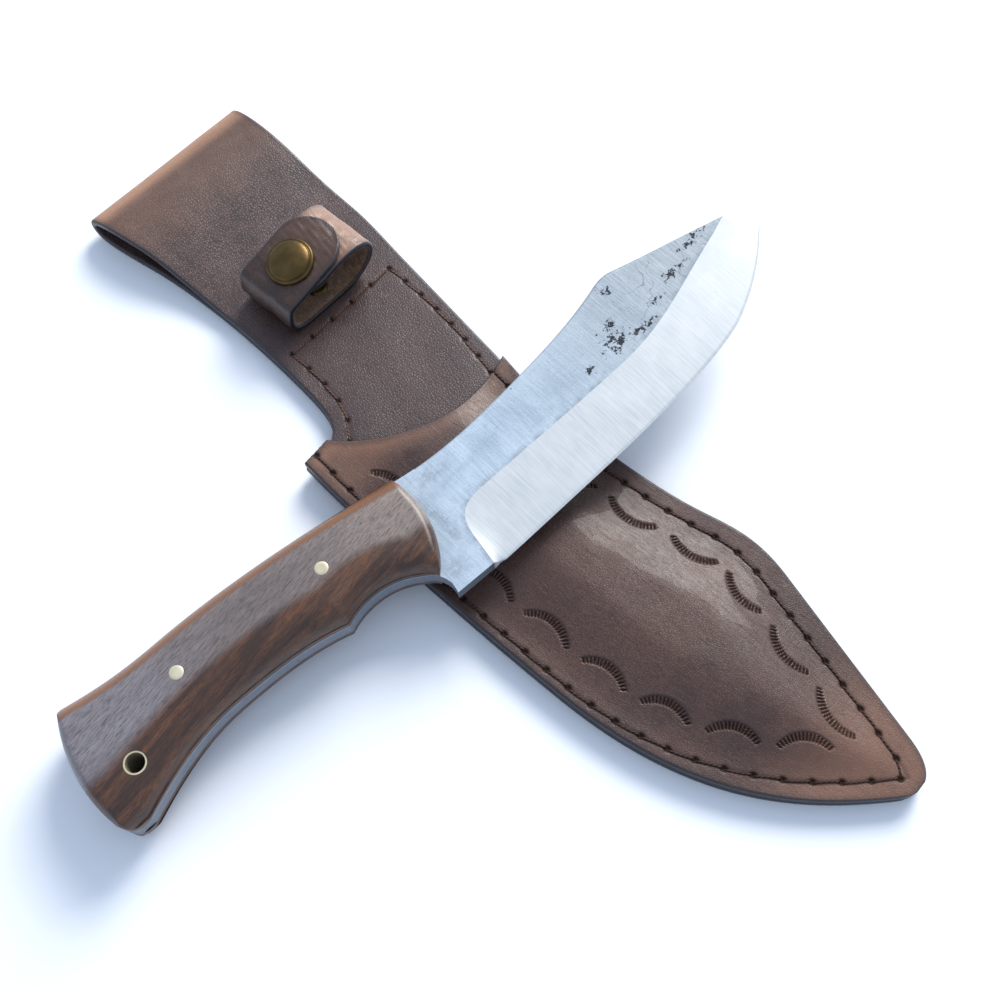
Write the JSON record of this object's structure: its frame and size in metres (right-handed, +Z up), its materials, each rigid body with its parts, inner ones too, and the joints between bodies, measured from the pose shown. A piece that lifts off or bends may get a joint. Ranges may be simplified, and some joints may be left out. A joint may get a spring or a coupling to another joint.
{
  "type": "sheath knife",
  "caption": "Fixed-blade camp knife with wooden scales lying across its leather belt sheath, with a stitched pocket, tooled front, belt loop and snap strap.",
  "frame": {"origin": "on the ground, in the flat back of the sheath, under the middle of the whole object", "axes": "+X along the sheath from the belt fold to its tip, +Y towards the knife's point, +Z up from the sheath's back"},
  "size_m": [0.3121, 0.2626, 0.0278],
  "materials": {
    "leather_dark": "waxed, burnished at the edges",
    "leather_tan": "smooth, oiled, hand tooled",
    "strap_tan": "smooth outside, rough flesh side inside",
    "thread": "waxed",
    "steel": "dark forge finish on the flats, satin bevel",
    "walnut": "oiled, satin",
    "brass": "satin",
    "brass_dark": "antique, satin"
  },
  "bodies": {
    "sheath": {"back_panel": "leather_dark", "welt": "leather_dark", "front_panel": "leather_tan", "pocket_thread": "thread", "neck_thread": "thread", "strap": "strap_tan", "strap_rivet": "brass", "rivet_washer": "brass_dark", "snap_stud": "brass_dark", "stud_eyelet": "brass"},
    "strap_flap": {"strap_flap": "strap_tan", "snap_cap": "brass_dark", "snap_socket": "brass_dark"},
    "knife": {"blade": "steel", "scale_upper": "walnut", "scale_lower": "walnut", "front_pin": "brass", "rear_pin": "brass", "lanyard_tube": "brass"}
  },
  "joints": [
    {"name": "strap_open", "type": "hinge", "parent": "sheath", "child": "strap_flap", "pos_m": [-0.0846, 0.0022, 0.0164], "axis": [1, 0, 0], "range_deg": [0, 115]},
    {"name": "knife_lift", "type": "slide", "parent": "sheath", "child": "knife", "axis": [0, 0, 1], "range_m": [0, 0.08]}
  ]
}
